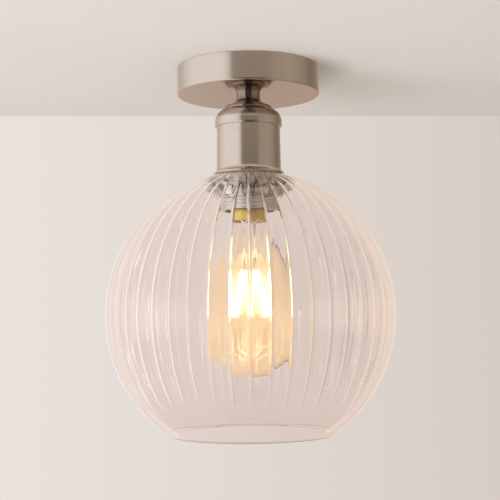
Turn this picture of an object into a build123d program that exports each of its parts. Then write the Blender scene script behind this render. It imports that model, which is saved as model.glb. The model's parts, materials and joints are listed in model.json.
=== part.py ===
from build123d import *
import math
import os

# Flush ceiling light: a ribbed glass globe, open below, clamped under a turned metal cup
# that hangs on a hollow threaded tube from a round canopy.
# Millimetres, +Z up. The origin is the middle of the canopy, on the ceiling, so all lies below it.

# General fits
sliding_gap = 0.1          # radial room of a piece that slips over or into another
seat_gap = 0.05            # room at a seat between pieces that move apart
cut_overrun = 1.0          # how far a cutting tool passes the face it cuts
thread_steps = 8           # levels in each pitch of a thread

# Canopy, a shallow pan open to the ceiling
canopy_radius = 50.0
canopy_height = 19.0
canopy_wall = 1.2
canopy_edge_radius = 1.1

# Bracket that is screwed to the ceiling
bracket_thickness = 1.5
bracket_strap_width = 22.0
bracket_plate_length = 48.0
bracket_plate_width = 62.0
ceiling_slot_spacing = 64.0
ceiling_slot_length = 12.0
ceiling_slot_width = 5.0
cable_hole_radius = 8.0
bracket_tab_height = 14.0
bracket_screw_sink = 0.2   # screw ends stay this far below the ceiling

# Inserts and grub screws that hold the canopy on the bracket
grub_radius = 2.0
grub_drop = 9.0            # below the ceiling
grub_point_radius = 1.4
grub_point_reach = 0.4     # past the inner face of the bracket's tab
grub_socket_across = 2.0
grub_socket_depth = 1.8
grub_sink = 0.2            # below the outer face of the insert
insert_flange_radius = 4.0
insert_spigot_radius = 3.0
insert_length = 3.2
tab_gap = 0.6              # between insert and tab

# Terminal block under the bracket
block_poles = 3
block_pitch = 9.0
block_depth = 17.0
block_height = 11.0
block_middle_y = 21.0
block_side = 4.0           # from the outer pole's axis to the block's end
block_groove_width = 1.6
block_groove_depth = 2.5
block_entry_depth = 3.0
pole_tube_radius = 2.2
pole_tube_bore_radius = 1.3
pole_screw_radius = 1.4
pole_screw_offset = 3.2
pole_screw_sink = 1.0
block_screw_radius = 1.4
block_screw_head_radius = 2.4
block_screw_head_height = 1.6
block_pocket_depth = 2.5
screw_slot_width = 0.7
screw_slot_depth = 0.6

# Earth screw on the bracket
earth_screw_y = -20.0
earth_screw_radius = 2.0
earth_screw_head_radius = 3.8
earth_screw_head_height = 2.4
earth_washer_radius = 5.0
earth_washer_thickness = 0.8

# Threaded tube and what is clamped on it inside the canopy
tube_radius = 5.0
tube_bore_radius = 3.5
tube_engagement = 8.0      # in the lampholder's cap
tube_above_nut = 1.2
tag_thickness = 0.8
tag_radius = 8.0
tag_barrel_radius = 1.6
tag_barrel_height = 4.6
tag_barrel_y = 10.5
washer_radius = 8.0
washer_thickness = 0.9
washer_teeth = 12
washer_notch_radius = 0.7
nut_across_flats = 14.0
nut_height = 3.0
bush_flange_thickness = 1.0
bush_flange_radius = 4.8
bush_spigot_length = 4.0
bush_bore_radius = 2.75

# Turned collar between canopy and cup
neck_height = 10.4
neck_stem_radius = 8.4
neck_stem_height = 1.2
neck_flare_width = 2.6
neck_flare_height = 4.8
neck_bead = 0.9            # rounded edge below the flare
neck_foot_radius = 16.9
neck_foot_height = 2.4
neck_foot_width = 3.3
neck_foot_edge = 0.5

# Cup over the lampholder
cup_height = 45.8
cup_wall = 1.1
cup_top_radius = 17.6
cup_bead_radius = 23.5
cup_dome_height = 8.6
cup_bead_height = 2.8
cup_bead_step = 1.2
cup_radius = 22.15
cup_foot_radius = 22.5
cup_flare_height = 3.4
cup_rim_radius = 24.7
cup_lip_height = 0.9
cup_lip_width = 1.8

# Glass globe
glass_radius = 100.0
glass_wall = 2.8
glass_mouth_radius = 55.7
glass_seat_radius = 24.0
glass_hole_clearance = 1.05
glass_rib_count = 48
glass_rib_depth = 0.8
gasket_thickness = 0.8
gasket_margin = 1.5        # gasket edge inside the edge that clamps it
gasket_hole_gap = 0.3

# Lampholder
holder_boss_radius = 8.5
holder_boss_height = 9.0
holder_flange_thickness = 2.0
holder_skirt_height = 13.5
holder_skirt_wall = 1.7
holder_body_height = 44.3
holder_plate_height = 19.0
sleeve_radius = 19.75      # over the crests of its outer thread
sleeve_wall = 1.45
sleeve_lip_thickness = 1.5
sleeve_lip_radius = 17.2
sleeve_thread_depth = 0.8
sleeve_thread_pitch = 2.5
sleeve_thread_length = 18.0
sleeve_end_relief = 0.15   # end of the sleeve below the roots of its thread
shell_sheet = 0.4
shell_gap = 0.22           # between the shell's crests and the body's bore
shell_flange_width = 1.6
shell_flange_lip = 0.1     # flange past the crests of the shell
shell_recess = 1.0         # lower edge of the shell above that of the body
post_width = 6.0
post_height = 8.0
post_screw_radius = 1.3
post_screw_head_radius = 2.3
post_screw_head_height = 1.4
rivet_radius = 1.2
live_post_x = -9.8
neutral_post_x = 12.0
wire_entry_height = 4.5    # above the holder's body

# Bronze leaf that touches the bulb
leaf_thickness = 0.5
leaf_width = 6.0
leaf_drop = 6.5
leaf_bend_radius = 1.2
leaf_overhang = 1.2        # past the rivet
leaf_bend_x = 7.5
leaf_return_x = 5.5
leaf_return_drop = 4.0
leaf_tip_length = 5.0
contact_gap = 0.3

# Ring that clamps the glass from inside
ring_flange_radius = 31.0
ring_flange_height = 4.0
ring_skirt_radius = 23.2
ring_skirt_height = 5.5
ring_notch_count = 36
ring_notch_radius = 0.9
gasket_edge_thickness = 0.6

# Edison screw of bulb and lampholder
thread_pitch = 3.629
thread_depth = 0.96
thread_radius = 13.13      # over the crests of the bulb's cap
thread_gap = 0.25

# Bulb
bulb_length = 135.8
bulb_radius = 32.0
bulb_glass_wall = 0.9
bulb_neck_radius = 12.9
bulb_neck_fillet = 14.0
bulb_side_radius = 150.0   # bulge of the sides between neck and round end
cap_length = 27.0
cap_skirt_height = 7.3
cap_skirt_radius = 13.55
cap_bore_radius = 11.6
cap_glass_overlap = 5.3
insulator_height = 2.6
insulator_rim = 1.5
contact_radius = 4.6
contact_height = 1.1
stem_wall = 0.8
stem_radius = 4.2
stem_flare_height = 11.5
stem_tube_height = 20.0
stem_pinch_height = 4.0
stem_rod_radius = 1.4
stem_rod_height = 38.0
stem_bead_radius = 2.2
filament_count = 6
filament_radius = 0.9
filament_top_radius = 6.0
filament_foot_radius = 12.0
filament_drop = 35.0       # from the lower edge of the cap to the filaments' upper ends
filament_height = 31.0
support_wire_radius = 0.35
support_gap = 0.05
board_length = 15.0
board_height = 14.0
board_thickness = 1.6
board_capacitor_radius = 2.5
board_capacitor_height = 8.0

# Inner wiring
wire_radius = 1.1
wire_spread = 1.25         # of the two wires in the tube
wire_bend_radius = 5.0
wire_entry_radius = 4.0
wire_lead = 6.5            # straight part beside the terminal block
wire_loop_height = 4.6     # top of the loop, above the bush
earth_bend_radius = 3.5

# Levels, from the ceiling down
canopy_floor_z = -canopy_height
canopy_inside_z = canopy_floor_z + canopy_wall
canopy_inner_radius = canopy_radius - canopy_wall
bracket_under_z = -bracket_thickness
tag_top_z = canopy_inside_z + tag_thickness
washer_top_z = tag_top_z + washer_thickness
nut_top_z = washer_top_z + nut_height
tube_top_z = nut_top_z + tube_above_nut
bush_top_z = tube_top_z + bush_flange_thickness
cup_top_z = canopy_floor_z - neck_height
cup_bottom_z = cup_top_z - cup_height
glass_seat_z = cup_bottom_z - gasket_thickness - seat_gap
glass_middle_z = glass_seat_z - math.sqrt(glass_radius**2 - glass_seat_radius**2)
glass_rim_z = glass_middle_z - math.sqrt(glass_radius**2 - glass_mouth_radius**2)
glass_inner_radius = glass_radius - glass_wall
glass_hole_radius = sleeve_radius + glass_hole_clearance

holder_top_z = cup_top_z - cup_wall
holder_flange_z = holder_top_z - holder_boss_height
sleeve_top_z = holder_flange_z - holder_flange_thickness
tube_bottom_z = holder_top_z - tube_engagement
holder_body_top_z = sleeve_top_z - holder_skirt_height
holder_body_bottom_z = holder_body_top_z - holder_body_height
holder_ceiling_z = holder_body_top_z - holder_plate_height
sleeve_bottom_z = holder_body_bottom_z - sleeve_lip_thickness
sleeve_bore_radius = sleeve_radius - sleeve_wall
holder_body_radius = sleeve_bore_radius - sliding_gap

leaf_bottom_z = holder_ceiling_z - leaf_drop - leaf_thickness
bulb_top_z = leaf_bottom_z - contact_gap
bulb_tip_z = bulb_top_z - bulb_length
cap_bottom_z = bulb_top_z - cap_length
cap_skirt_top_z = cap_bottom_z + cap_skirt_height
contact_seat_z = bulb_top_z - contact_height
cap_top_z = contact_seat_z - insulator_height
bulb_glass_top_z = cap_bottom_z + cap_glass_overlap
filament_top_z = cap_bottom_z - filament_drop
filament_foot_z = filament_top_z - filament_height

ring_seat_z = glass_middle_z + math.sqrt(glass_inner_radius**2 - ring_flange_radius**2)
ring_top_z = ring_seat_z - gasket_edge_thickness
ring_flange_bottom_z = ring_top_z - ring_flange_height
ring_bottom_z = ring_flange_bottom_z - ring_skirt_height

STANDING = (Align.CENTER, Align.CENTER, Align.MIN)


def rod(radius, low, high):
    """Upright round bar on the Z axis."""
    return Pos(0, 0, low) * Cylinder(radius, high - low, align=STANDING)


def pipe(outer, inner, low, high):
    """Upright pipe on the Z axis."""
    return rod(outer, low, high) - rod(inner, low - cut_overrun, high + cut_overrun)


def plate(length, width, low, high):
    """Upright block, centred on the Z axis."""
    return Pos(0, 0, low) * Box(length, width, high - low, align=STANDING)


def bar(radius, start, end):
    """Round bar between two points."""
    way = Vector(*end) - Vector(*start)
    return extrude(Plane(start, z_dir=way) * Circle(radius), way.length)


def turned(*edges):
    """Solid of revolution round Z of a closed outline in radius and height."""
    return revolve(Plane.XZ * make_face(edges), Axis.Z)


def threaded(crest_radius, depth, pitch, low, high):
    """Round-crested right-hand thread: circles whose middle runs once round the axis in each pitch."""
    offset = depth / 2
    rise = pitch / thread_steps
    between = [rise * step for step in range(math.ceil(low / rise), math.ceil(high / rise))]
    levels = [low] + [z for z in between if low + rise / 4 < z < high - rise / 4] + [high]
    sections = []
    for z in levels:
        turn = 2 * math.pi * z / pitch
        middle = Pos(offset * math.cos(turn), offset * math.sin(turn), z)
        sections.append(middle * Circle(crest_radius - offset))
    return loft(sections, ruled=True)


def slotted(head_radius, low):
    """Driver slot that cuts up into a screw head whose lower face is at low."""
    return plate(2 * head_radius + cut_overrun, screw_slot_width, low - cut_overrun, low + screw_slot_depth)


def group(solids):
    """Separate solids kept in one node."""
    return Compound(children=list(solids))


def on_both_sides(piece):
    """A piece and its copy half a turn round Z."""
    return [piece, Rot(0, 0, 180) * piece]


# Canopy fastening, worked out along +X and copied to -X
def wall_sag(wall_radius, reach):
    """How far a round wall falls back at a sideways reach."""
    return wall_radius - math.sqrt(wall_radius**2 - reach**2)


insert_outer_x = canopy_inner_radius - wall_sag(canopy_inner_radius, insert_flange_radius) - seat_gap
insert_inner_x = insert_outer_x - insert_length
insert_face_x = canopy_radius - wall_sag(canopy_radius, insert_spigot_radius)
tab_outer_x = insert_inner_x - tab_gap
tab_inner_x = tab_outer_x - bracket_thickness


def sideways(radius, start_x, end_x):
    """Round bar along X at the height of the grub screws."""
    return bar(radius, (start_x, 0, -grub_drop), (end_x, 0, -grub_drop))


def canopy():
    pan = rod(canopy_radius, canopy_floor_z, 0)
    pan = fillet(pan.edges().group_by(Axis.Z)[0], canopy_edge_radius)
    pan -= rod(canopy_inner_radius, canopy_inside_z, cut_overrun)
    pan -= rod(tube_radius + sliding_gap, canopy_floor_z - cut_overrun, 0)
    hole = sideways(insert_spigot_radius + sliding_gap, tab_outer_x, canopy_radius + cut_overrun)
    for side in on_both_sides(hole):
        pan -= side
    return pan


def canopy_nuts():
    insert = sideways(insert_flange_radius, insert_inner_x, insert_outer_x)
    insert += sideways(insert_spigot_radius, insert_inner_x, insert_face_x)
    insert -= sideways(grub_radius + sliding_gap, tab_inner_x, canopy_radius)
    return group(on_both_sides(insert))


def canopy_grub_screws():
    outer_x = insert_face_x - grub_sink
    screw = sideways(grub_radius, tab_outer_x + seat_gap, outer_x)
    screw += sideways(grub_point_radius, tab_inner_x - grub_point_reach, outer_x)
    socket_plane = Plane((outer_x, 0, -grub_drop), z_dir=(-1, 0, 0))
    corner_radius = grub_socket_across / math.sqrt(3)
    screw -= extrude(socket_plane * RegularPolygon(corner_radius, 6), grub_socket_depth)
    return group(on_both_sides(screw))


def block_screw_x():
    """The block's fixing screw stands between its first two poles."""
    return -block_pitch * (block_poles - 2) / 2


def mounting_bracket():
    sheet = plate(2 * tab_outer_x, bracket_strap_width, bracket_under_z, 0)
    sheet += plate(bracket_plate_length, bracket_plate_width, bracket_under_z, 0)
    hanging = (Align.MAX, Align.CENTER, Align.MAX)
    tab = Box(bracket_thickness, bracket_strap_width, bracket_tab_height, align=hanging)
    tab = Pos(tab_outer_x, 0, 0) * tab
    tab -= sideways(grub_point_radius + sliding_gap, tab_inner_x - cut_overrun, tab_outer_x + cut_overrun)
    for side in on_both_sides(tab):
        sheet += side
    low = bracket_under_z - cut_overrun
    slot = extrude(SlotOverall(ceiling_slot_length, ceiling_slot_width), cut_overrun - low)
    for side in on_both_sides(Pos(ceiling_slot_spacing / 2, 0, low) * slot):
        sheet -= side
    sheet -= rod(cable_hole_radius, low, cut_overrun)
    sheet -= Pos(0, earth_screw_y, 0) * rod(earth_screw_radius + sliding_gap, low, cut_overrun)
    sheet -= Pos(block_screw_x(), block_middle_y, 0) * rod(block_screw_radius + sliding_gap, low, cut_overrun)
    return sheet


def earth_washer():
    low = bracket_under_z - earth_washer_thickness
    ring = pipe(earth_washer_radius, earth_screw_radius + sliding_gap, low, bracket_under_z)
    return Pos(0, earth_screw_y, 0) * ring


def earth_screw():
    seat = bracket_under_z - earth_washer_thickness
    head_bottom = seat - earth_screw_head_height
    screw = rod(earth_screw_head_radius, head_bottom, seat)
    screw += rod(earth_screw_radius, head_bottom, -bracket_screw_sink)
    screw -= slotted(earth_screw_head_radius, head_bottom)
    return Pos(0, earth_screw_y, 0) * screw


# Terminal block: poles run along Y, their screws are driven from below
block_bottom_z = bracket_under_z - block_height
pole_z = bracket_under_z - block_height / 2
block_front_y = block_middle_y - block_depth / 2
pole_tube_length = block_depth - 2 * block_entry_depth
pole_screw_tip_z = pole_z - pole_tube_bore_radius / 2
pole_screw_low_z = block_bottom_z + pole_screw_sink


def pole_places():
    first = -block_pitch * (block_poles - 1) / 2
    return [first + block_pitch * step for step in range(block_poles)]


def pole_screw_places():
    return [(x, block_middle_y + side * pole_screw_offset) for x in pole_places() for side in (-1, 1)]


def along_pole(radius, x, length):
    """Round bar along a pole's axis, centred in the block."""
    half = length / 2
    return bar(radius, (x, block_middle_y - half, pole_z), (x, block_middle_y + half, pole_z))


def terminal_block():
    length = block_pitch * (block_poles - 1) + 2 * block_side
    body = Pos(0, block_middle_y, 0) * plate(length, block_depth, block_bottom_z, bracket_under_z)
    low = block_bottom_z - cut_overrun
    through = block_depth + 2 * cut_overrun
    groove = plate(block_groove_width, through, low, block_bottom_z + block_groove_depth)
    for x in pole_places()[:-1]:
        body -= Pos(x + block_pitch / 2, block_middle_y, 0) * groove
    for x in pole_places():
        body -= along_pole(pole_tube_radius + sliding_gap, x, through)
    for x, y in pole_screw_places():
        body -= Pos(x, y, 0) * rod(pole_screw_radius + sliding_gap, low, pole_z)
    pocket = rod(block_screw_head_radius + sliding_gap, low, block_bottom_z + block_pocket_depth)
    pocket += rod(block_screw_radius + sliding_gap, block_bottom_z, cut_overrun)
    return body - Pos(block_screw_x(), block_middle_y, 0) * pocket


def terminal_tubes():
    tubes = []
    for x in pole_places():
        pole = along_pole(pole_tube_radius, x, pole_tube_length)
        pole -= along_pole(pole_tube_bore_radius, x, pole_tube_length + 2 * cut_overrun)
        for side in (-1, 1):
            screw_hole = rod(pole_screw_radius + sliding_gap, block_bottom_z, pole_z)
            pole -= Pos(x, block_middle_y + side * pole_screw_offset, 0) * screw_hole
        tubes.append(pole)
    return group(tubes)


def terminal_screws():
    screw = rod(pole_screw_radius, pole_screw_low_z, pole_screw_tip_z)
    screw -= slotted(pole_screw_radius, pole_screw_low_z)
    return group(Pos(x, y, 0) * screw for x, y in pole_screw_places())


def block_screw():
    seat = block_bottom_z + block_pocket_depth
    low = seat - block_screw_head_height
    screw = rod(block_screw_head_radius, low, seat) + rod(block_screw_radius, low, -bracket_screw_sink)
    screw -= slotted(block_screw_head_radius, low)
    return Pos(block_screw_x(), block_middle_y, 0) * screw


# Tube and the stack inside the canopy
def threaded_tube():
    return pipe(tube_radius, tube_bore_radius, tube_bottom_z, tube_top_z)


def tube_bush():
    spigot_low = tube_top_z - bush_spigot_length
    bush = rod(bush_flange_radius, tube_top_z, bush_top_z)
    bush += rod(tube_bore_radius - sliding_gap, spigot_low, tube_top_z)
    return bush - rod(bush_bore_radius, spigot_low - cut_overrun, bush_top_z + cut_overrun)


def earth_tag():
    tag = rod(tag_radius, canopy_inside_z, tag_top_z)
    tongue = plate(2 * tag_barrel_radius, tag_barrel_y, canopy_inside_z, tag_top_z)
    tag += Pos(0, tag_barrel_y / 2, 0) * tongue
    barrel = rod(tag_barrel_radius, canopy_inside_z, canopy_inside_z + tag_barrel_height)
    tag += Pos(0, tag_barrel_y, 0) * barrel
    return tag - rod(tube_radius + sliding_gap, canopy_inside_z - cut_overrun, tag_top_z + cut_overrun)


def lock_washer():
    ring = pipe(washer_radius, tube_radius + sliding_gap, tag_top_z, washer_top_z)
    notch = rod(washer_notch_radius, tag_top_z - cut_overrun, washer_top_z + cut_overrun)
    for place in PolarLocations(washer_radius, washer_teeth):
        ring -= place * notch
    return ring


def canopy_hex_nut():
    corner_radius = nut_across_flats / math.sqrt(3)
    blank = Pos(0, 0, washer_top_z) * extrude(RegularPolygon(corner_radius, 6), nut_height)
    return blank - rod(tube_radius + seat_gap, washer_top_z - cut_overrun, nut_top_z + cut_overrun)


# Collar and cup
def neck_collar():
    bore = tube_radius + sliding_gap
    stem_low = canopy_floor_z - neck_stem_height
    flare_low = stem_low - neck_flare_height
    flare_radius = neck_stem_radius + neck_flare_width
    bead_low = flare_low - neck_bead
    bead_radius = flare_radius + neck_bead
    foot_top = cup_top_z + neck_foot_height
    foot_low = cup_top_z + neck_foot_edge
    foot_inner = neck_foot_radius - neck_foot_width
    return turned(
        Polyline((bore, cup_top_z), (bore, canopy_floor_z), (neck_stem_radius, canopy_floor_z)),
        Line((neck_stem_radius, canopy_floor_z), (neck_stem_radius, stem_low)),
        TangentArc((neck_stem_radius, stem_low), (flare_radius, flare_low), tangent=(0, -1)),
        TangentArc((flare_radius, flare_low), (bead_radius, bead_low), tangent=(1, 0)),
        TangentArc((bead_radius, bead_low), (foot_inner, foot_top), tangent=(0, -1)),
        TangentArc((neck_foot_radius, foot_low), (foot_inner, foot_top), tangent=(0, 1)),
        Polyline((neck_foot_radius, foot_low), (neck_foot_radius, cup_top_z), (bore, cup_top_z)),
    )


def socket_cup():
    bore = tube_radius + sliding_gap
    dome_low = cup_top_z - cup_dome_height
    bead_low = dome_low - cup_bead_height
    body_top = bead_low - cup_bead_step
    lip_top = cup_bottom_z + cup_lip_height
    flare_top = lip_top + cup_flare_height
    inner_radius = cup_radius - cup_wall
    inner_foot = cup_foot_radius - cup_wall
    inner_rim = cup_rim_radius - cup_lip_width
    inner_top = cup_top_z - cup_wall
    inner_top_radius = cup_top_radius - cup_wall
    return turned(
        Polyline((bore, inner_top), (bore, cup_top_z), (cup_top_radius, cup_top_z)),
        TangentArc((cup_bead_radius, dome_low), (cup_top_radius, cup_top_z), tangent=(0, 1)),
        Line((cup_bead_radius, dome_low), (cup_bead_radius, bead_low)),
        TangentArc((cup_bead_radius, bead_low), (cup_radius, body_top), tangent=(0, -1)),
        Line((cup_radius, body_top), (cup_foot_radius, flare_top)),
        TangentArc((cup_foot_radius, flare_top), (cup_rim_radius, lip_top), tangent=(0, -1)),
        Polyline((cup_rim_radius, lip_top), (cup_rim_radius, cup_bottom_z), (inner_rim, cup_bottom_z)),
        TangentArc((inner_foot, flare_top), (inner_rim, cup_bottom_z), tangent=(0, -1)),
        Polyline((inner_foot, flare_top), (inner_radius, body_top), (inner_radius, dome_low)),
        TangentArc((inner_radius, dome_low), (inner_top_radius, inner_top), tangent=(0, 1)),
        Line((inner_top_radius, inner_top), (bore, inner_top)),
    )


# Glass and its clamping
def glass_section(valley):
    """Wall of the globe in one upright plane, drawn in by valley at its widest level."""
    seat_rise = glass_seat_z - glass_middle_z
    rim_drop = glass_rim_z - glass_middle_z
    hole_rise = math.sqrt(glass_inner_radius**2 - glass_hole_radius**2)
    inner_mouth = math.sqrt(glass_inner_radius**2 - rim_drop**2)
    seat = (glass_seat_radius, seat_rise)
    rim = (glass_mouth_radius, rim_drop)
    outline = make_face(
        [
            Polyline((glass_hole_radius, hole_rise), (glass_hole_radius, seat_rise), seat),
            ThreePointArc(seat, (glass_radius - valley, 0), rim),
            Line(rim, (inner_mouth, rim_drop)),
            ThreePointArc((inner_mouth, rim_drop), (glass_inner_radius, 0), (glass_hole_radius, hole_rise)),
        ]
    )
    return Pos(0, 0, glass_middle_z) * (Plane.XZ * outline)


def glass_shade():
    """One rib is lofted from valley over crest to valley; its skins are then turned round and closed."""
    pitch = 360 / glass_rib_count
    sections = []
    for angle, valley in ((0, glass_rib_depth), (pitch / 2, 0), (pitch, glass_rib_depth)):
        sections.append(Rot(0, 0, angle) * glass_section(valley))
    rib = loft(sections)
    skins = [face for face in rib.faces() if face.geom_type != GeomType.PLANE]
    turns = [Rot(0, 0, step * pitch) for step in range(glass_rib_count)]
    return Solid(Shell([turn * skin for turn in turns for skin in skins]))


def upper_gasket():
    low = cup_bottom_z - gasket_thickness
    return pipe(cup_rim_radius - gasket_margin, glass_hole_radius + gasket_hole_gap, low, cup_bottom_z)


def lower_gasket():
    inner = glass_hole_radius + gasket_hole_gap
    outer = ring_flange_radius - gasket_margin
    top_radius = glass_inner_radius - seat_gap
    inner_top = glass_middle_z + math.sqrt(top_radius**2 - inner**2)
    outer_top = glass_middle_z + math.sqrt(top_radius**2 - outer**2)
    low = ring_top_z + seat_gap
    return turned(
        Polyline((outer, outer_top), (outer, low), (inner, low), (inner, inner_top)),
        RadiusArc((inner, inner_top), (outer, outer_top), top_radius),
    )


def shade_ring():
    ring = rod(ring_flange_radius, ring_flange_bottom_z, ring_top_z)
    ring += rod(ring_skirt_radius, ring_bottom_z, ring_top_z)
    notch = rod(ring_notch_radius, ring_flange_bottom_z - cut_overrun, ring_top_z + cut_overrun)
    for place in PolarLocations(ring_flange_radius, ring_notch_count):
        ring -= place * notch
    bore_low = ring_bottom_z - cut_overrun
    bore_high = ring_top_z + cut_overrun
    bore_radius = sleeve_radius + thread_gap
    return ring - threaded(bore_radius, sleeve_thread_depth, sleeve_thread_pitch, bore_low, bore_high)


# Lampholder
def holder_cap():
    skirt_outer = holder_body_radius
    cap = rod(holder_boss_radius, holder_flange_z, holder_top_z)
    cap += rod(sleeve_radius - sleeve_thread_depth / 2, sleeve_top_z, holder_flange_z)
    cap += pipe(skirt_outer, skirt_outer - holder_skirt_wall, holder_body_top_z, sleeve_top_z)
    cap -= rod(tube_radius + seat_gap, tube_bottom_z, holder_top_z + cut_overrun)
    return cap - rod(tube_bore_radius, sleeve_top_z - cut_overrun, holder_top_z)


def holder_sleeve():
    plain_radius = sleeve_radius - sleeve_thread_depth / 2
    end_radius = sleeve_radius - sleeve_thread_depth - sleeve_end_relief
    thread_low = holder_body_bottom_z
    thread_high = thread_low + sleeve_thread_length
    sleeve = rod(plain_radius, thread_high, sleeve_top_z)
    sleeve += threaded(sleeve_radius, sleeve_thread_depth, sleeve_thread_pitch, thread_low, thread_high)
    sleeve += rod(end_radius, sleeve_bottom_z, thread_low)
    sleeve -= rod(sleeve_bore_radius, holder_body_bottom_z, sleeve_top_z + cut_overrun)
    return sleeve - rod(sleeve_lip_radius, sleeve_bottom_z - cut_overrun, holder_body_bottom_z + cut_overrun)


shell_inner_crest = thread_radius + thread_gap
shell_outer_crest = shell_inner_crest + shell_sheet
shell_top_z = holder_ceiling_z
shell_bottom_z = holder_body_bottom_z + shell_recess


def holder_body():
    body = rod(holder_body_radius, holder_body_bottom_z, holder_body_top_z)
    body -= rod(shell_outer_crest + shell_gap, holder_body_bottom_z - cut_overrun, holder_ceiling_z)
    rivet_low = holder_ceiling_z - cut_overrun
    rivet_hole = rod(rivet_radius + sliding_gap, rivet_low, holder_body_top_z + cut_overrun)
    for x in (live_post_x, neutral_post_x):
        body -= Pos(x, 0, 0) * rivet_hole
    return body


def screw_shell():
    flange_low = shell_top_z - shell_sheet
    shell = threaded(shell_outer_crest, thread_depth, thread_pitch, shell_bottom_z, flange_low)
    shell += rod(shell_outer_crest + shell_flange_lip, flange_low, shell_top_z)
    shell -= threaded(shell_inner_crest, thread_depth, thread_pitch, shell_bottom_z - cut_overrun, flange_low)
    mouth = shell_outer_crest - shell_flange_width
    return shell - rod(mouth, flange_low - cut_overrun, shell_top_z + cut_overrun)


def centre_contact():
    top = holder_ceiling_z - leaf_thickness / 2
    tip = leaf_bottom_z + leaf_thickness / 2
    path = FilletPolyline(
        (live_post_x - leaf_overhang, top),
        (leaf_bend_x, top),
        (leaf_return_x, top - leaf_return_drop),
        (leaf_tip_length / 2, tip),
        (-leaf_tip_length / 2, tip),
        radius=leaf_bend_radius,
    )
    strip = Plane.XZ * trace(path, leaf_thickness)
    return extrude(strip, leaf_width / 2, both=True)


def holder_terminals():
    post = plate(post_width, post_width, holder_body_top_z, holder_body_top_z + post_height)
    post += rod(rivet_radius, holder_ceiling_z, holder_body_top_z)
    screw_low = holder_body_top_z + wire_entry_height
    post -= rod(post_screw_radius + sliding_gap, screw_low, holder_body_top_z + post_height + cut_overrun)
    return group(Pos(x, 0, 0) * post for x in (live_post_x, neutral_post_x))


def holder_terminal_screws():
    post_top = holder_body_top_z + post_height
    head_top = post_top + post_screw_head_height
    screw = rod(post_screw_head_radius, post_top, head_top)
    screw += rod(post_screw_radius, holder_body_top_z + wire_entry_height + seat_gap, post_top)
    slot_length = 2 * post_screw_head_radius + cut_overrun
    screw -= plate(slot_length, screw_slot_width, head_top - screw_slot_depth, head_top + cut_overrun)
    return group(Pos(x, 0, 0) * screw for x in (live_post_x, neutral_post_x))


# Wiring
wire_entry_z = holder_body_top_z + wire_entry_height / 2
wire_loop_z = bush_top_z + wire_loop_height
pole_wire_y = block_front_y + block_entry_depth


def supply_wire(pole_x, tube_x, post_face_x):
    """From a pole of the block, down through the tube, to a terminal post of the lampholder."""
    points = [
        (pole_x, pole_wire_y, pole_z),
        (pole_x, pole_wire_y - wire_lead, pole_z),
        (tube_x, 0, wire_loop_z),
        (tube_x, 0, wire_entry_z),
        (post_face_x, 0, wire_entry_z),
    ]
    return wire_along(points, [wire_bend_radius, wire_entry_radius, wire_bend_radius])


def wire_along(points, radii):
    path = FilletPolyline(*points, radius=radii)
    section = Plane(points[0], z_dir=Vector(*points[1]) - Vector(*points[0])) * Circle(wire_radius)
    wire = sweep(section, path=path)
    expected = math.pi * wire_radius**2 * path.length
    print(f"wire {path.length:.1f} mm, bends {radii}, volume {wire.volume:.1f} of {expected:.1f}")
    return wire


def live_wire():
    return supply_wire(pole_places()[0], -wire_spread, live_post_x + post_width / 2)


def neutral_wire():
    return supply_wire(pole_places()[-1], wire_spread, neutral_post_x - post_width / 2)


def earth_wire():
    barrel_top = canopy_inside_z + tag_barrel_height
    points = [(0, pole_wire_y, pole_z), (0, tag_barrel_y, pole_z), (0, tag_barrel_y, barrel_top)]
    return wire_along(points, [earth_bend_radius])


# Bulb
def bulb_cap():
    cap = threaded(thread_radius, thread_depth, thread_pitch, cap_skirt_top_z, cap_top_z)
    cap += rod(cap_skirt_radius, cap_bottom_z, cap_skirt_top_z)
    cap -= rod(cap_bore_radius, cap_bottom_z - cut_overrun, cap_top_z + cut_overrun)
    return cap - rod(bulb_neck_radius + sliding_gap, cap_bottom_z - cut_overrun, bulb_glass_top_z)


def bulb_insulator():
    rim_low = cap_top_z - insulator_rim
    rim_radius = cap_bore_radius - sliding_gap
    return turned(
        Polyline((0, contact_seat_z), (0, rim_low), (rim_radius, rim_low), (rim_radius, cap_top_z)),
        Polyline((rim_radius, cap_top_z), (contact_radius, contact_seat_z), (0, contact_seat_z)),
    )


def bulb_contact():
    edge_z = contact_seat_z
    return turned(
        Polyline((0, bulb_top_z), (0, edge_z), (contact_radius, edge_z)),
        TangentArc((0, bulb_top_z), (contact_radius, edge_z), tangent=(1, 0)),
    )


def bulb_outline(inset):
    """Teardrop envelope: straight neck, slightly bulging sides, round end."""
    neck = bulb_neck_radius - inset
    ball = bulb_radius - inset
    side = bulb_side_radius - inset
    ball_z = bulb_tip_z + bulb_radius
    widest = (ball, ball_z)
    corner = (neck, ball_z + math.sqrt(side**2 - (side - ball + neck) ** 2))
    face = make_face(
        [
            Polyline((0, ball_z - ball), (0, bulb_glass_top_z), (neck, bulb_glass_top_z), corner),
            TangentArc(widest, corner, tangent=(0, 1)),
            TangentArc(widest, (0, ball_z - ball), tangent=(0, -1)),
        ]
    )
    neck_corner = face.vertices().sort_by_distance(corner)[0]
    return fillet(neck_corner, bulb_neck_fillet)


def bulb_glass():
    section = bulb_outline(0) - bulb_outline(bulb_glass_wall)
    return revolve(Plane.XZ * section, Axis.Z)


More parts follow.
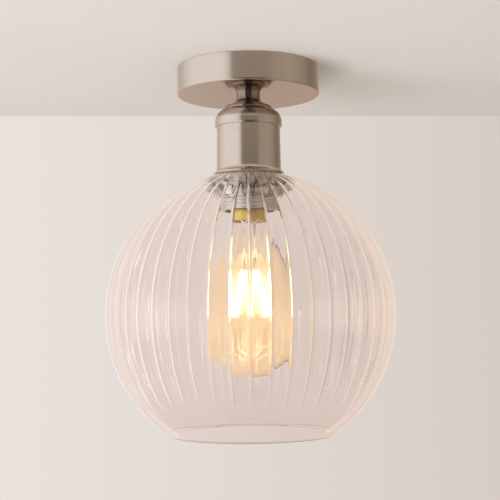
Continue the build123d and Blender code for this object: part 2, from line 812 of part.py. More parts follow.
def bulb_stem():
    top = bulb_glass_top_z
    flare_radius = bulb_neck_radius - bulb_glass_wall - sliding_gap
    flare_low = top - stem_flare_height
    tube_low = flare_low - stem_tube_height
    rod_top = tube_low - stem_pinch_height
    rod_low = rod_top - stem_rod_height
    bore = stem_radius - stem_wall
    stem = turned(
        Polyline((flare_radius - stem_wall, top), (flare_radius, top)),
        TangentArc((stem_radius, flare_low), (flare_radius, top), tangent=(0, 1)),
        Polyline((stem_radius, flare_low), (stem_radius, tube_low), (stem_rod_radius, rod_top)),
        Polyline((stem_rod_radius, rod_top), (stem_rod_radius, rod_low), (0, rod_low), (0, tube_low)),
        Polyline((0, tube_low), (bore, tube_low), (bore, flare_low)),
        TangentArc((bore, flare_low), (flare_radius - stem_wall, top), tangent=(0, 1)),
    )
    return stem + Pos(0, 0, rod_low) * Sphere(stem_bead_radius)


def around(step, radius, z):
    """Point beside the bulb's axis, in the upright plane of one filament."""
    angle = 2 * math.pi * (step + 0.5) / filament_count
    return (radius * math.cos(angle), radius * math.sin(angle), z)


def filament_ends(step):
    top = around(step, filament_top_radius, filament_top_z)
    foot = around(step, filament_foot_radius, filament_foot_z)
    return top, foot


def bulb_filaments():
    sticks = []
    for step in range(filament_count):
        top, foot = filament_ends(step)
        sticks.append(bar(filament_radius, top, foot))
    return group(sticks)


def bulb_support_wires():
    """Upper wires from the stem's tube, lower wires from the bead on its rod."""
    tube_low = bulb_glass_top_z - stem_flare_height - stem_tube_height
    bead_z = tube_low - stem_pinch_height - stem_rod_height
    stem_reach = stem_radius + support_gap + support_wire_radius
    bead_reach = stem_bead_radius + support_gap
    clear = support_wire_radius + filament_radius + support_gap
    wires = []
    for step in range(filament_count):
        above = around(step, filament_top_radius, filament_top_z + clear / 2)
        below = around(step, filament_foot_radius, filament_foot_z - clear / 2)
        wires.append(bar(support_wire_radius, around(step, stem_reach, tube_low + clear), above))
        wires.append(bar(support_wire_radius, around(step, bead_reach, bead_z), below))
    return group(wires)


def bulb_driver_board():
    board_top = cap_top_z - insulator_rim - seat_gap
    board_low = board_top - board_height
    board = plate(board_length, board_thickness, board_low, board_top)
    capacitor_low = board_top - (board_height + board_capacitor_height) / 2
    capacitor = rod(board_capacitor_radius, capacitor_low, capacitor_low + board_capacitor_height)
    return board + Pos(0, board_capacitor_radius, 0) * capacitor


PIECES = [
    mounting_bracket, canopy, canopy_nuts, canopy_grub_screws,
    terminal_block, terminal_tubes, terminal_screws, block_screw, earth_screw, earth_washer,
    threaded_tube, tube_bush, earth_tag, lock_washer, canopy_hex_nut, neck_collar, socket_cup,
    holder_cap, holder_sleeve, holder_body, screw_shell, centre_contact,
    holder_terminals, holder_terminal_screws, live_wire, neutral_wire, earth_wire,
    upper_gasket, lower_gasket, glass_shade, shade_ring,
    bulb_cap, bulb_insulator, bulb_contact, bulb_glass, bulb_stem,
    bulb_filaments, bulb_support_wires, bulb_driver_board,
]

os.makedirs("parts", exist_ok=True)
for piece in PIECES:
    export_step(piece(), f"parts/{piece.__name__}.step")
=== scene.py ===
import json
import math

import bmesh
import bpy
from mathutils import Matrix, Vector


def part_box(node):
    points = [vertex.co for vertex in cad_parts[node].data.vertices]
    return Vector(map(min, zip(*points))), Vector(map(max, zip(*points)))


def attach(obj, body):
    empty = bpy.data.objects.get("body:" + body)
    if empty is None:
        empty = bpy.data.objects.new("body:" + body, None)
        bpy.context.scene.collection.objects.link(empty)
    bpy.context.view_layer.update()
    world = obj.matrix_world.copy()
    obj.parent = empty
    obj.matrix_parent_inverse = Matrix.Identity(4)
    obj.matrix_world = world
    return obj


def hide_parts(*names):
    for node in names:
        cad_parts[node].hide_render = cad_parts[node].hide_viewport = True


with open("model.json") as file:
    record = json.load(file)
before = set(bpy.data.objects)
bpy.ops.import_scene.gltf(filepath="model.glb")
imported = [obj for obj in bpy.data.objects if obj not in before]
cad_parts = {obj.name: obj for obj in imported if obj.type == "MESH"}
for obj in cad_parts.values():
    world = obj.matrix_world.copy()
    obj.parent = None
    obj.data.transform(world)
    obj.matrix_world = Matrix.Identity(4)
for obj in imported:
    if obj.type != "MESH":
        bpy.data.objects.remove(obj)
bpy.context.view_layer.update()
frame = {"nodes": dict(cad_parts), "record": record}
nodes = frame["nodes"]

MM = 0.001

# Camera: places in millimetres from the middle of the canopy on the ceiling, angles in degrees
IMAGE_PIXELS = 500
FOCAL_PIXELS = 1043.6
SENSOR_WIDTH = 36.0
NEAREST_SEEN = 10.0
CAMERA_PLACE = (0.82, -726.85, -181.12)
CAMERA_PITCH = 4.16
CAMERA_YAW = -0.05
CAMERA_ROLL = -0.587

# Ribbed globe, in millimetres
GLOBE_RADIUS = 100.0
GLOBE_WALL = 2.8
GLOBE_SEAT_RADIUS = 24.0
GLOBE_HOLE_RADIUS = 20.8
GLOBE_MOUTH_RADIUS = 55.7
GLOBE_RIBS = 48
RIB_DEPTH = 0.6
RIB_POWER = 8              # the higher, the flatter a rib is and the narrower the grooves beside it
RIB_TAPER = 0.6            # grooves grow shallower towards the axis, by this power of the distance from it
RIB_END = 17.0             # height above the rim where the ribs have run out
RIB_FADE = 19.0            # height over which they run out
RIB_SEAT_FADE = 1.5        # height over which they run out below the seat
RIM_ROUNDING = 0.9
RIM_STEPS = 8
OUTER_STEPS = 72
INNER_STEPS = 48
# Places across a rib, from the groove at -1 towards the next one at 1, close together near the grooves
RIB_GRID = (-1.0, -0.95, -0.9, -0.83, -0.72, -0.5, -0.2, 0.2, 0.5, 0.72, 0.83, 0.9, 0.95)

# Bulb, in millimetres
BULB_RADIUS = 32.0
BULB_WALL = 0.9
BULB_NECK_RADIUS = 12.9
BULB_SIDE_RADIUS = 150.0
BULB_NECK_BLEND = 14.0
BULB_TIP_HOLE = 0.02       # radius left open at the tip, too small to see
BULB_BALL_STEPS = 40
BULB_SIDE_STEPS = 20
BULB_NECK_STEPS = 8
BULB_SEGMENTS = 128

# Heights on the part where a look begins and where it is full, in millimetres
COLLAR_TOP = (-18.9, -19.05)
COLLAR_FOOT = (-29.5, -29.3)
FLANGE_EDGE = (-92.0, -91.0)
AMBER_START = (-112.0, -140.0)
STEM_LIT = (-118.0, -134.0)
HAZE_TOP = (-132.0, -150.0)
HAZE_FOOT = (-186.0, -168.0)
STREAK_FOOT = (-243.0, -222.0)
SKIRT_START = (-238.0, -248.0)
RIM_LINE = (-255.1, -255.8)

# Textures
NOISE_SPAN = (0.3, 0.7)    # most of a noise texture lies between these
LEVEL_FACE = (0.9, 0.98)   # upright part of the normal where a face begins to count as level, and fully does

# Stage, in millimetres and degrees
CEILING_GAP = 0.3
CEILING_COLOUR = (0.84, 0.81, 0.785)
WALL_BEHIND = 167.0        # from the axis to the ceiling's far edge, where the wall begins
WALL_TURN = 2.9            # the wall stands aslant by this
FLOOR_DROP = 1200.0
FLOOR_COLOUR = (0.80, 0.77, 0.73)
STAGE_REACH = 2500.0


# Mesh helpers
def mesh_object(name, verts, faces, body):
    mesh = bpy.data.meshes.new(name)
    mesh.from_pydata(verts, [], faces)
    shell = bmesh.new()
    shell.from_mesh(mesh)
    bmesh.ops.recalc_face_normals(shell, faces=shell.faces)
    shell.to_mesh(mesh)
    shell.free()
    mesh.polygons.foreach_set("use_smooth", [True] * len(mesh.polygons))
    obj = bpy.data.objects.new(name, mesh)
    bpy.context.scene.collection.objects.link(obj)
    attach(obj, body)
    return obj


def on_circle(radius, z, angle):
    """A point of a turned shape, from millimetres to metres."""
    return (radius * math.cos(angle) * MM, radius * math.sin(angle) * MM, z * MM)


def ring_faces(columns, rows):
    """Quads of a tube of profile points: each column is one upright section, and both ways wrap round."""
    faces = []
    for c in range(columns):
        nxt = (c + 1) % columns
        for r in range(rows):
            up = (r + 1) % rows
            faces.append((c * rows + r, c * rows + up, nxt * rows + up, nxt * rows + r))
    return faces


def arc_points(centre, radius, start, end, steps):
    """Points on a circle in radius and height, from angle start to end, both in radians."""
    points = []
    for i in range(steps + 1):
        a = start + (end - start) * i / steps
        points.append((centre[0] + radius * math.cos(a), centre[1] + radius * math.sin(a)))
    return points


def smooth_step(x):
    x = max(0.0, min(1.0, x))
    return x * x * (3 - 2 * x)


# Globe
def globe():
    rim_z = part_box("glass_shade")[0].z / MM
    middle = rim_z + math.sqrt(GLOBE_RADIUS**2 - GLOBE_MOUTH_RADIUS**2)
    inner_radius = GLOBE_RADIUS - GLOBE_WALL
    seat_angle = math.acos(GLOBE_SEAT_RADIUS / GLOBE_RADIUS)
    seat_z = middle + GLOBE_RADIUS * math.sin(seat_angle)
    hole_angle = math.acos(GLOBE_HOLE_RADIUS / inner_radius)
    rim_rise = rim_z + RIM_ROUNDING - middle
    inner_rim_angle = math.asin(rim_rise / inner_radius)
    outer_rim_angle = math.asin(rim_rise / GLOBE_RADIUS)
    outer = arc_points((0, middle), GLOBE_RADIUS, seat_angle, outer_rim_angle, OUTER_STEPS)
    inside = arc_points((0, middle), inner_radius, inner_rim_angle, hole_angle, INNER_STEPS)
    rim_outer = outer[-1]
    rim_inner = inside[0]
    rim_mid = (rim_outer[0] + rim_inner[0]) / 2
    half = (rim_outer[0] - rim_inner[0]) / 2
    rim = []
    for i in range(1, RIM_STEPS):
        a = math.pi * i / RIM_STEPS
        rim.append((rim_mid + half * math.cos(a), rim_outer[1] - RIM_ROUNDING * math.sin(a)))
    lip = [(GLOBE_HOLE_RADIUS, seat_z)]
    profile = outer + rim + inside + lip
    pitch = 2 * math.pi / GLOBE_RIBS
    columns = GLOBE_RIBS * len(RIB_GRID)
    verts = []
    for c in range(columns):
        rib, place = divmod(c, len(RIB_GRID))
        across = RIB_GRID[place]
        angle = (rib + (across + 1) / 2) * pitch
        for i, (r, z) in enumerate(profile):
            if i <= OUTER_STEPS:
                above_rim = smooth_step((z - rim_z - RIB_END) / RIB_FADE)
                below_seat = smooth_step((seat_z - z) / RIB_SEAT_FADE)
                fade = above_rim * below_seat
                depth = RIB_DEPTH * across**RIB_POWER * fade * (r / GLOBE_RADIUS) ** RIB_TAPER
                toward = math.atan2(z - middle, r)
                r = r - depth * math.cos(toward)
                z = z - depth * math.sin(toward)
            verts.append(on_circle(r, z, angle))
    obj = mesh_object("ribbed_globe", verts, ring_faces(columns, len(profile)), "shade")
    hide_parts("glass_shade")
    return obj


# Bulb envelope
def bulb_profile(inset, tip_z, top_z):
    """Teardrop from its tip up to the open neck, in radius and height."""
    ball = BULB_RADIUS - inset
    neck = BULB_NECK_RADIUS - inset
    ball_z = tip_z + BULB_RADIUS
    side = BULB_SIDE_RADIUS - inset
    side_centre = (ball - side, ball_z)
    blend_x = neck + BULB_NECK_BLEND
    rise = math.sqrt((side + BULB_NECK_BLEND) ** 2 - (blend_x - side_centre[0]) ** 2)
    angle = math.atan2(rise, blend_x - side_centre[0])
    blend_centre = (blend_x, ball_z + rise)
    points = arc_points((0, ball_z), ball, -math.pi / 2, 0, BULB_BALL_STEPS)
    points += arc_points(side_centre, side, 0, angle, BULB_SIDE_STEPS)[1:]
    points += arc_points(blend_centre, BULB_NECK_BLEND, math.pi + angle, math.pi, BULB_NECK_STEPS)[1:]
    points.append((neck, top_z))
    return points


def bulb_envelope():
    low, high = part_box("bulb_glass")
    tip, top = low.z / MM, high.z / MM
    outer = bulb_profile(0.0, tip, top)
    inside = bulb_profile(BULB_WALL, tip, top)
    inside.reverse()
    outer[0] = (BULB_TIP_HOLE, outer[0][1])
    inside[-1] = (BULB_TIP_HOLE, inside[-1][1])
    profile = outer + inside
    verts = []
    for c in range(BULB_SEGMENTS):
        angle = 2 * math.pi * c / BULB_SEGMENTS
        for r, z in profile:
            verts.append(on_circle(r, z, angle))
    obj = mesh_object("bulb_envelope", verts, ring_faces(BULB_SEGMENTS, len(profile)), "bulb")
    coated = obj.data.attributes.new("coated", "FLOAT", "POINT")
    coated.data.foreach_set("value", ([0.0] * len(outer) + [1.0] * len(inside)) * BULB_SEGMENTS)
    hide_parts("bulb_glass")
    return obj


# Node helpers
class Nodes:
    """Short ways to build a node tree. A node takes outputs, plain numbers and plain colours."""

    def __init__(self, tree):
        self.tree = tree

    def add(self, kind, **settings):
        node = self.tree.nodes.new(kind)
        for name, value in settings.items():
            setattr(node, name, value)
        return node

    def join(self, start, end):
        self.tree.links.new(start, end)

    def feed(self, socket, value):
        if isinstance(value, tuple):
            socket.default_value = (*value, 1.0)
        elif isinstance(value, (int, float)):
            socket.default_value = value
        else:
            self.join(value, socket)

    def split(self, vector):
        node = self.add("ShaderNodeSeparateXYZ")
        self.join(vector, node.inputs[0])
        return node.outputs["X"], node.outputs["Y"], node.outputs["Z"]

    def combine(self, x, y, z):
        node = self.add("ShaderNodeCombineXYZ")
        for socket, value in zip(node.inputs, (x, y, z)):
            self.feed(socket, value)
        return node.outputs[0]

    def math(self, operation, *terms):
        node = self.add("ShaderNodeMath", operation=operation)
        for socket, value in zip(node.inputs, terms):
            self.feed(socket, value)
        return node.outputs[0]

    def range(self, source, low, high, source_low=0.0, source_high=1.0):
        """A number moved from one range to another, held level beyond it."""
        node = self.add("ShaderNodeMapRange")
        node.inputs["From Min"].default_value = source_low
        node.inputs["From Max"].default_value = source_high
        node.inputs["To Min"].default_value = low
        node.inputs["To Max"].default_value = high
        self.join(source, node.inputs["Value"])
        return node.outputs["Result"]

    def blend(self, factor, first, second):
        """One colour turns into another."""
        node = self.add("ShaderNodeMix", data_type="RGBA")
        self.join(factor, node.inputs[0])
        self.feed(node.inputs[6], first)
        self.feed(node.inputs[7], second)
        return node.outputs[2]

    def ramp(self, source, stops):
        """A colour found along stops, each a position and a colour."""
        node = self.add("ShaderNodeValToRGB")
        elements = node.color_ramp.elements
        while len(elements) < len(stops):
            elements.new(0.5)
        for element, (position, colour) in zip(elements, stops):
            element.position = position
            element.color = (*colour, 1)
        self.join(source, node.inputs["Fac"])
        return node.outputs["Color"]


class Look(Nodes):
    """One material round a Principled shader."""

    def __init__(self, name, colour, roughness, metallic=0.0, **sockets):
        self.material = bpy.data.materials.new(name)
        self.material.use_nodes = True
        super().__init__(self.material.node_tree)
        self.shader = self.tree.nodes["Principled BSDF"]
        self.set("Base Color", colour)
        self.set("Roughness", roughness)
        self.set("Metallic", metallic)
        for socket, value in sockets.items():
            self.set(socket.replace("_", " "), value)

    def set(self, socket, value):
        self.feed(self.shader.inputs[socket], value)

    def coords(self, kind="Object"):
        return self.add("ShaderNodeTexCoord").outputs[kind]

    def place(self, scale=(1, 1, 1)):
        """Coordinates of the piece itself, in metres, scaled."""
        mapping = self.add("ShaderNodeMapping")
        mapping.inputs["Scale"].default_value = scale
        self.join(self.coords(), mapping.inputs["Vector"])
        return mapping.outputs["Vector"]

    def lathe(self, along, across):
        """Coordinates that run slowly round the Z axis and fast across it, as turning marks do."""
        x, y, z = self.split(self.coords())
        radius = self.add("ShaderNodeVectorMath", operation="LENGTH")
        self.join(self.combine(x, y, 0.0), radius.inputs[0])
        turn = self.math("ARCTAN2", y, x)
        return self.combine(
            self.math("MULTIPLY", radius.outputs["Value"], across),
            self.math("MULTIPLY", turn, along),
            self.math("MULTIPLY", z, across),
        )

    def height(self, low, high):
        """0 at height low and 1 at height high of the piece, in millimetres, held level beyond."""
        z = self.split(self.coords())[2]
        return self.range(z, 0.0, 1.0, low * MM, high * MM)

    def level_faces(self):
        """1 on faces that lie level, 0 on upright ones."""
        z = self.split(self.coords("Normal"))[2]
        return self.range(self.math("ABSOLUTE", z), 0.0, 1.0, *LEVEL_FACE)

    def noise(self, vector, scale=1.0, detail=2.0, roughness=0.5):
        node = self.add("ShaderNodeTexNoise")
        node.inputs["Scale"].default_value = scale
        node.inputs["Detail"].default_value = detail
        node.inputs["Roughness"].default_value = roughness
        self.join(vector, node.inputs["Vector"])
        return node.outputs["Fac"]

    def tint(self, source, dark, pale, span=NOISE_SPAN, socket="Base Color"):
        """The colour varies with a texture between two shades."""
        self.set(socket, self.ramp(source, [(span[0], dark), (span[1], pale)]))

    def bump(self, source, strength, distance):
        node = self.add("ShaderNodeBump")
        node.inputs["Strength"].default_value = strength
        node.inputs["Distance"].default_value = distance
        self.join(source, node.inputs["Height"])
        self.set("Normal", node.outputs["Normal"])

    def turned_tangent(self):
        tangent = self.add("ShaderNodeTangent", direction_type="RADIAL", axis="Z")
        self.set("Tangent", tangent.outputs["Tangent"])


def scaled(colour, factor):
    return tuple(min(1.0, c * factor) for c in colour)


# Materials
def satin_nickel():
    """Brushed round the axis. The collar and all level faces are polished, and the collar is darker with
    painted shade.
    """
    look = Look("satin_nickel", (0.70, 0.62, 0.56), 0.22, 1.0, Anisotropic=0.7, Anisotropic_Rotation=0.25)
    lines = look.noise(look.lathe(along=1.5, across=2600.0), detail=3.0, roughness=0.6)
    cloud = look.noise(look.place(), scale=60.0, detail=3.0)
    collar = look.math("MULTIPLY", look.height(*COLLAR_TOP), look.height(*COLLAR_FOOT))
    polished = look.math("MAXIMUM", collar, look.level_faces())
    brushed = look.range(lines, 0.17, 0.30, *NOISE_SPAN)
    keep = look.range(polished, 1.0, 0.35)
    look.set("Roughness", look.math("MULTIPLY", brushed, keep))
    shade = look.blend(cloud, (0.66, 0.58, 0.52), (0.74, 0.66, 0.60))
    # painted shade: the collar under the canopy gets a darker nickel colour
    look.set("Base Color", look.blend(collar, shade, (0.50, 0.43, 0.37)))
    look.bump(lines, strength=0.05, distance=0.00003)
    look.turned_tangent()
    return look.material


def metal_grain(look, least, most):
    """Fine grain, rough between least and most, of a plated or drawn surface; gives its cloudiness back."""
    cloud = look.noise(look.place(), scale=140.0, detail=4.0)
    fine = look.noise(look.place(), scale=900.0, detail=3.0)
    look.set("Roughness", look.range(fine, least, most, *NOISE_SPAN))
    look.bump(fine, strength=0.05, distance=0.00004)
    return cloud


def metal(name, colour, roughness, grain=0.08):
    look = Look(name, colour, roughness, 1.0)
    cloud = metal_grain(look, roughness - grain, roughness + grain)
    look.tint(cloud, scaled(colour, 0.86), scaled(colour, 1.06))
    return look.material


def plated_ring():
    """Plated thread and ring; the ring's flange is knurled, and from the flange up the colour runs darker in
    painted streaks of shade and painted highlight lines.
    """
    look = Look("plated_ring", (0.72, 0.67, 0.62), 0.34, 1.0)
    cloud = metal_grain(look, 0.26, 0.42)
    streak_noise = look.noise(look.lathe(along=9.0, across=10.0), detail=1.0)
    flange = look.height(*FLANGE_EDGE)
    plain = look.blend(cloud, (0.78, 0.72, 0.66), (0.90, 0.84, 0.78))
    # painted shade and painted highlights: sharp streaks from near black to near white above FLANGE_EDGE
    sharp_streaks = look.range(streak_noise, 0.0, 1.0, 0.40, 0.50)
    painted_streaks = look.blend(sharp_streaks, (0.06, 0.05, 0.04), (1.0, 0.94, 0.89))
    look.set("Base Color", look.blend(flange, plain, painted_streaks))
    return look.material


def moulded(name, colour, roughness, grain=0.07):
    look = Look(name, colour, roughness)
    cloud = look.noise(look.place(), scale=90.0, detail=3.0)
    fine = look.noise(look.place(), scale=1400.0)
    look.tint(cloud, scaled(colour, 0.88), scaled(colour, 1.07))
    look.set("Roughness", look.range(fine, roughness - grain, roughness + grain, *NOISE_SPAN))
    look.bump(fine, strength=0.12, distance=0.00005)
    return look.material


def striped_wire(name, colour, stripe):
    """Insulation with a second colour on part of its girth."""
    look = Look(name, colour, 0.42)
    wave = look.add("ShaderNodeTexWave", wave_type="BANDS", bands_direction="X")
    wave.inputs["Scale"].default_value = 220.0
    look.join(look.place(), wave.inputs["Vector"])
    look.tint(wave.outputs["Fac"], colour, stripe, span=(0.58, 0.62))
    look.bump(look.noise(look.place(), scale=1500.0), strength=0.1, distance=0.00003)
    return look.material


def ribbed_glass():
    """Clear with faint upright streaks, deeper in tone towards the mouth, with a painted dark line of shade
    along the rim.
    """
    look = Look("ribbed_glass", (0.985, 0.94, 0.93), 0.0, IOR=1.45, Transmission_Weight=1.0)
    streaks = look.noise(look.lathe(along=30.0, across=6.0), detail=0.5)
    body = look.blend(streaks, (0.97, 0.91, 0.90), (0.99, 0.955, 0.945))
    skirt = look.blend(look.height(*SKIRT_START), body, (0.965, 0.89, 0.875))
    # painted shade: a near-black line painted along the rim
    look.set("Base Color", look.blend(look.height(*RIM_LINE), skirt, (0.15, 0.125, 0.11)))
    unevenness = look.math("MULTIPLY", streaks, look.height(*STREAK_FOOT))
    look.bump(unevenness, strength=0.25, distance=0.0006)
    return look.material


def amber_glass():
    """Amber coat inside the envelope, clear at the neck, hazy beside the filaments, with a faint painted glow
    below the neck.
    """
    look = Look("amber_glass", (1.0, 0.93, 0.78), 0.25, IOR=1.4, Transmission_Weight=1.0)
    # painted glow: the envelope emits faint amber light below the neck, in place of scattered filament light
    look.set("Emission Strength", 0.05)
    waves = look.noise(look.place((1, 1, 0.5)), scale=90.0)
    ball = look.height(*AMBER_START)
    amber = look.blend(waves, (1.0, 0.895, 0.70), (1.0, 0.94, 0.81))
    look.set("Base Color", look.blend(ball, (0.99, 0.97, 0.94), amber))
    look.set("Emission Color", look.blend(ball, (0.0, 0.0, 0.0), (1.0, 0.68, 0.36)))
    coated = look.add("ShaderNodeAttribute", attribute_name="coated")
    beside = look.math("MULTIPLY", look.height(*HAZE_TOP), look.height(*HAZE_FOOT))
    haze = look.range(beside, 0.05, 0.36)
    look.set("Roughness", look.math("MULTIPLY", coated.outputs["Fac"], haze))
    look.bump(waves, strength=0.05, distance=0.0003)
    return look.material


def clear_glass():
    """Stem of the bulb, with a painted glow round its lower end where the filaments light it."""
    look = Look("clear_glass", (0.97, 0.96, 0.93), 0.02, IOR=1.48, Transmission_Weight=1.0)
    # painted glow: the stem emits warm light round its lower end
    look.set("Emission Strength", 1.5)
    look.set("Emission Color", look.blend(look.height(*STEM_LIT), (0.0, 0.0, 0.0), (1.0, 0.82, 0.52)))
    waves = look.noise(look.place(), scale=300.0)
    look.set("Roughness", look.range(waves, 0.0, 0.06, *NOISE_SPAN))
    look.bump(waves, strength=0.1, distance=0.0002)
    return look.material


def filament_glow():
    look = Look("filament_glow", (1.0, 0.82, 0.50), 0.6)
    look.set("Emission Strength", 10.0)
    grain = look.noise(look.place((1, 1, 1.5)), scale=700.0)
    look.tint(grain, (1.0, 0.70, 0.34), (1.0, 0.86, 0.58), socket="Emission Color")
    look.bump(grain, strength=0.3, distance=0.0002)
    return look.material


def circuit_board():
    look = Look("circuit_board", (0.10, 0.30, 0.16), 0.4)
    cells = look.add("ShaderNodeTexVoronoi", feature="F1", distance="CHEBYCHEV")
    cells.inputs["Scale"].default_value = 420.0
    look.join(look.place(), cells.inputs["Vector"])
    look.tint(cells.outputs["Distance"], (0.62, 0.50, 0.24), (0.08, 0.27, 0.14), span=(0.12, 0.2))
    look.bump(cells.outputs["Distance"], strength=0.2, distance=0.0001)
    return look.material


LOOKS = {
    "satin_nickel": satin_nickel(),
    "zinc_steel": metal("zinc_steel", (0.62, 0.63, 0.64), 0.33),
    "white_nylon": moulded("white_nylon", (0.80, 0.79, 0.75), 0.45),
    "brass": metal("brass", (0.78, 0.58, 0.27), 0.28),
    "black_resin": moulded("black_resin", (0.03, 0.03, 0.03), 0.35),
    "plated_ring": plated_ring(),
    "grey_silicone": moulded("grey_silicone", (0.42, 0.34, 0.29), 0.6),
    "ribbed_glass": ribbed_glass(),
    "brown_pvc": moulded("brown_pvc", (0.23, 0.10, 0.045), 0.42),
    "blue_pvc": moulded("blue_pvc", (0.05, 0.16, 0.52), 0.42),
    "green_pvc": striped_wire("green_pvc", (0.08, 0.40, 0.10), (0.85, 0.72, 0.06)),
    "gold_cap": metal("gold_cap", (1.0, 0.72, 0.20), 0.5),
    "solder": metal("solder", (0.66, 0.66, 0.66), 0.30),
    "amber_glass": amber_glass(),
    "clear_glass": clear_glass(),
    "filament_glow": filament_glow(),
    "support_wire": metal("support_wire", (0.66, 0.62, 0.57), 0.30),
    "circuit_board": circuit_board(),
}


def paint(obj, slot):
    obj.data.materials.clear()
    obj.data.materials.append(LOOKS[slot])


for row in frame["record"]["subparts"]:
    paint(nodes[row["node"]], row["material_slot"])

globe_piece = globe()
paint(globe_piece, "ribbed_glass")
envelope = bulb_envelope()
paint(envelope, "amber_glass")

# Light passes the clear pieces unhindered on its way to what they hold
for clear in (globe_piece, envelope, nodes["bulb_stem"]):
    clear.visible_shadow = False
    clear.visible_diffuse = False
# Metal mirrors the room without the clear pieces in front of it
for unmirrored in (globe_piece, envelope):
    unmirrored.visible_glossy = False


# Stage
def stage_plane(name, corners, material):
    mesh = bpy.data.meshes.new(name)
    mesh.from_pydata([tuple(v * MM for v in c) for c in corners], [], [tuple(range(len(corners)))])
    mesh.update()
    obj = bpy.data.objects.new(name, mesh)
    obj.data.materials.append(material)
    bpy.context.scene.collection.objects.link(obj)
    obj.visible_glossy = False
    return obj


def plaster(name, colour):
    look = Look(name, colour, 0.9)
    look.tint(look.noise(look.place(), scale=3.0), scaled(colour, 0.985), scaled(colour, 1.01))
    return look


def one_sided(look):
    """Seen through from behind, so that views from above show the part."""
    clear = look.add("ShaderNodeBsdfTransparent")
    facing = look.add("ShaderNodeNewGeometry")
    mix = look.add("ShaderNodeMixShader")
    look.join(facing.outputs["Backfacing"], mix.inputs["Fac"])
    look.join(look.shader.outputs["BSDF"], mix.inputs[1])
    look.join(clear.outputs["BSDF"], mix.inputs[2])
    look.join(mix.outputs["Shader"], look.tree.nodes["Material Output"].inputs["Surface"])
    return look.material


def stage():
    reach, gap, drop = STAGE_REACH, CEILING_GAP, -FLOOR_DROP
    slant = reach * math.tan(math.radians(WALL_TURN))
    ceiling_corners = [
        (-reach, -reach, gap),
        (-reach, WALL_BEHIND - slant, gap),
        (reach, WALL_BEHIND + slant, gap),
        (reach, -reach, gap),
    ]
    stage_plane("ceiling", ceiling_corners, one_sided(plaster("ceiling", CEILING_COLOUR)))
    floor_corners = [
        (-reach, -reach, drop),
        (reach, -reach, drop),
        (reach, reach, drop),
        (-reach, reach, drop),
    ]
    floor = stage_plane("floor", floor_corners, plaster("floor", FLOOR_COLOUR).material)
    floor.visible_transmission = False


# World: a soft room. What metal mirrors depends on the side, in degrees from the front to the right: a large
# pale window on the left, a dark front, a tan wall on the right.
DARK_FROM, DARK_TO = -25, 31
ROOM_RAMP = [
    (-180, (0.57, 0.46, 0.39)),
    (-174, (0.71, 0.58, 0.48)),
    (-140, (0.62, 0.56, 0.51)),
    (-115, (0.86, 0.82, 0.79)),
    (-95, (1.00, 0.97, 0.95)),
    (-45, (1.00, 0.97, 0.95)),
    (-31, (0.88, 0.84, 0.81)),
    (DARK_FROM, (0.11, 0.09, 0.08)),
    (DARK_TO, (0.11, 0.09, 0.08)),
    (37, (0.40, 0.34, 0.28)),
    (75, (0.45, 0.38, 0.31)),
    (100, (0.37, 0.30, 0.25)),
    (120, (0.26, 0.20, 0.15)),
    (145, (0.34, 0.28, 0.22)),
    (174, (0.64, 0.455, 0.345)),
    (180, (0.57, 0.46, 0.39)),
]
UPPER_DARK = (0.53, 0.455, 0.38)     # the dark front is paler higher up
CEILING_TONE = (0.72, 0.64, 0.57)    # what metal mirrors above
SOFT_LIGHT = (0.55, 0.53, 0.505)     # what lights dull surfaces

# What glass mirrors at eye level, by the side: a window on the left, a lit wall on the right
GLASS_RAMP = [
    (-180, (1.25, 1.10, 0.97)),
    (-168, (1.25, 1.10, 0.97)),
    (-158, (0.66, 0.59, 0.55)),
    (-120, (0.66, 0.59, 0.55)),
    (-105, (1.45, 1.35, 1.26)),
    (-60, (1.45, 1.35, 1.26)),
    (-50, (0.70, 0.63, 0.59)),
    (45, (0.70, 0.63, 0.59)),
    (62, (1.60, 1.20, 0.90)),
    (115, (1.60, 1.20, 0.90)),
    (130, (0.72, 0.62, 0.54)),
    (158, (0.72, 0.62, 0.54)),
    (168, (1.30, 1.00, 0.74)),
    (180, (1.30, 1.00, 0.74)),
]
GLASS_BEYOND = (0.62, 0.55, 0.51)    # the same above and below
GLASS_LEFT = (0.90, 0.80, 0.74)      # what shines back inside a glass wall
GLASS_RIGHT = (0.82, 0.68, 0.57)

# The wall behind, and what ribs bend into view: a pale window left of it, shade right of it, then a next wall
WALLS_AROUND = 4
WALL_LEFT = (0.823, 0.768, 0.730)
WALL_MIDDLE = (0.751, 0.686, 0.638)
WALL_RIGHT = (0.679, 0.604, 0.546)
FAR_LEFT = (1.25, 1.18, 1.13)
FAR_RIGHT = (0.40, 0.33, 0.28)
WALL_SWEEP = 14.0          # degrees from the middle of the wall to its palest and darkest tone
WALL_FAR = 26.0            # degrees to where the window and the shade begin
WALL_TURNED = 42.0         # degrees to where they end
WALL_CORNER = 180.0 / WALLS_AROUND
WALL_STOPS = [
    (-WALL_CORNER, WALL_MIDDLE),
    (-WALL_TURNED, FAR_LEFT),
    (-WALL_FAR, FAR_LEFT),
    (-WALL_SWEEP, WALL_LEFT),
    (WALL_SWEEP, WALL_RIGHT),
    (WALL_FAR, FAR_RIGHT),
    (WALL_TURNED, FAR_RIGHT),
    (WALL_CORNER, WALL_MIDDLE),
]

# Upright part of a direction where a change of tone begins and where it ends
UPPER_SPAN = (0.20, 0.23)
OVERHEAD_SPAN = (0.45, 0.75)
BEYOND_SPAN = (0.10, 0.26)
STEEP_SPAN = (0.5, 0.8)


def stops_within(stops, reach):
    """Stops from -reach to reach degrees, moved to a ramp's 0 to 1."""
    return [((degrees + reach) / (2 * reach), tone) for degrees, tone in stops]


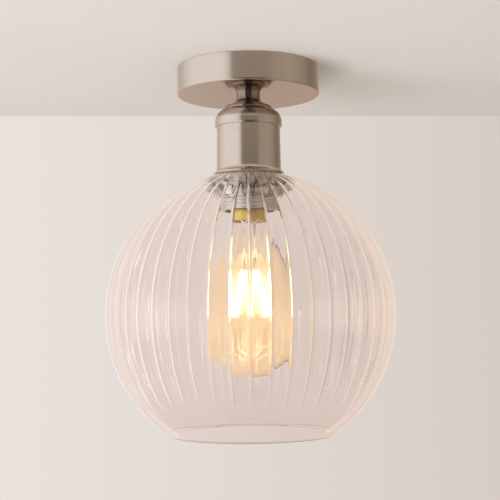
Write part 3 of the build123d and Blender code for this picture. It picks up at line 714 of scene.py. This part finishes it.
def room():
    world = bpy.data.worlds.new("room")
    bpy.context.scene.world = world
    world.use_nodes = True
    sky = Nodes(world.node_tree)
    sky.tree.nodes.clear()
    x, y, z = sky.split(sky.add("ShaderNodeTexCoord").outputs["Generated"])
    path = sky.add("ShaderNodeLightPath").outputs
    turn = sky.range(sky.math("ARCTAN2", x, sky.math("MULTIPLY", y, -1.0)), 0.0, 1.0, -math.pi, math.pi)
    upright = sky.math("ABSOLUTE", z)
    reach = math.sin(math.radians(WALL_SWEEP))
    sweep = sky.range(x, 0.0, 1.0, -reach, reach)

    # Mirrored by metal
    upper_ramp = [(a, UPPER_DARK if DARK_FROM <= a <= DARK_TO else c) for a, c in ROOM_RAMP]
    lower_room = sky.ramp(turn, stops_within(ROOM_RAMP, 180))
    upper_room = sky.ramp(turn, stops_within(upper_ramp, 180))
    walls = sky.blend(sky.range(z, 0.0, 1.0, *UPPER_SPAN), lower_room, upper_room)
    metal_view = sky.blend(sky.range(z, 0.0, 1.0, *OVERHEAD_SPAN), walls, CEILING_TONE)

    # Mirrored by glass: from the air, or inside its wall after an odd number of passages
    glints = sky.ramp(turn, stops_within(GLASS_RAMP, 180))
    outer_view = sky.blend(sky.range(upright, 0.0, 1.0, *BEYOND_SPAN), glints, GLASS_BEYOND)
    inner_view = sky.ramp(sweep, [(0.0, GLASS_LEFT), (1.0, GLASS_RIGHT)])
    within = sky.math("MODULO", path["Transmission Depth"], 2.0)
    glass_view = sky.blend(within, outer_view, inner_view)

    # Seen through glass
    on_wall = sky.math("FRACT", sky.math("MULTIPLY_ADD", turn, -WALLS_AROUND, WALLS_AROUND + 0.5))
    around = sky.ramp(on_wall, stops_within(WALL_STOPS, WALL_CORNER))
    through = sky.blend(sky.range(upright, 0.0, 1.0, *STEEP_SPAN), around, WALL_MIDDLE)

    # Seen straight
    wall = sky.ramp(sweep, [(0.0, WALL_LEFT), (1.0, WALL_RIGHT)])

    light = sky.blend(path["Is Glossy Ray"], SOFT_LIGHT, metal_view)
    light = sky.blend(path["Is Singular Ray"], light, glass_view)
    light = sky.blend(path["Is Transmission Ray"], light, through)
    light = sky.blend(path["Is Camera Ray"], light, wall)
    background = sky.add("ShaderNodeBackground")
    sky.join(light, background.inputs["Color"])
    sky.join(background.outputs[0], sky.add("ShaderNodeOutputWorld").inputs["Surface"])


# Lamps, in metres
def area_lamp(name, place, target, size, watts, colour):
    data = bpy.data.lights.new(name, "AREA")
    data.shape = "DISK"
    data.size = size
    data.energy = watts
    data.color = colour
    obj = bpy.data.objects.new(name, data)
    obj.location = Vector(place)
    obj.rotation_euler = (Vector(target) - Vector(place)).to_track_quat("-Z", "Y").to_euler()
    obj.visible_glossy = False
    obj.visible_camera = False
    obj.visible_transmission = False
    bpy.context.scene.collection.objects.link(obj)


def lamps():
    area_lamp(
        "key", place=(-1.1, -0.9, -1.0), target=(0, 0, -0.05), size=1.3, watts=23.0, colour=(0.98, 0.985, 1.0)
    )
    area_lamp(
        "fill", place=(1.2, -1.4, -0.6), target=(0, 0, -0.1), size=1.2, watts=3.0, colour=(1.0, 0.94, 0.87)
    )


def camera():
    pitch, yaw, roll = (math.radians(a) for a in (CAMERA_PITCH, CAMERA_YAW, CAMERA_ROLL))
    ahead = Vector((math.sin(yaw) * math.cos(pitch), math.cos(yaw) * math.cos(pitch), math.sin(pitch)))
    level = ahead.cross(Vector((0, 0, 1))).normalized()
    above = level.cross(ahead)
    right = level * math.cos(roll) + above * math.sin(roll)
    up = above * math.cos(roll) - level * math.sin(roll)
    data = bpy.data.cameras.new("camera")
    data.sensor_width = SENSOR_WIDTH
    data.lens = SENSOR_WIDTH * FOCAL_PIXELS / IMAGE_PIXELS
    data.clip_start = NEAREST_SEEN * MM
    obj = bpy.data.objects.new("camera", data)
    turn = Matrix((right, up, -ahead)).transposed().to_4x4()
    obj.matrix_world = Matrix.Translation(Vector(CAMERA_PLACE) * MM) @ turn
    bpy.context.scene.collection.objects.link(obj)
    bpy.context.scene.camera = obj


stage()
room()
lamps()
camera()
bpy.context.scene.view_settings.view_transform = "Standard"
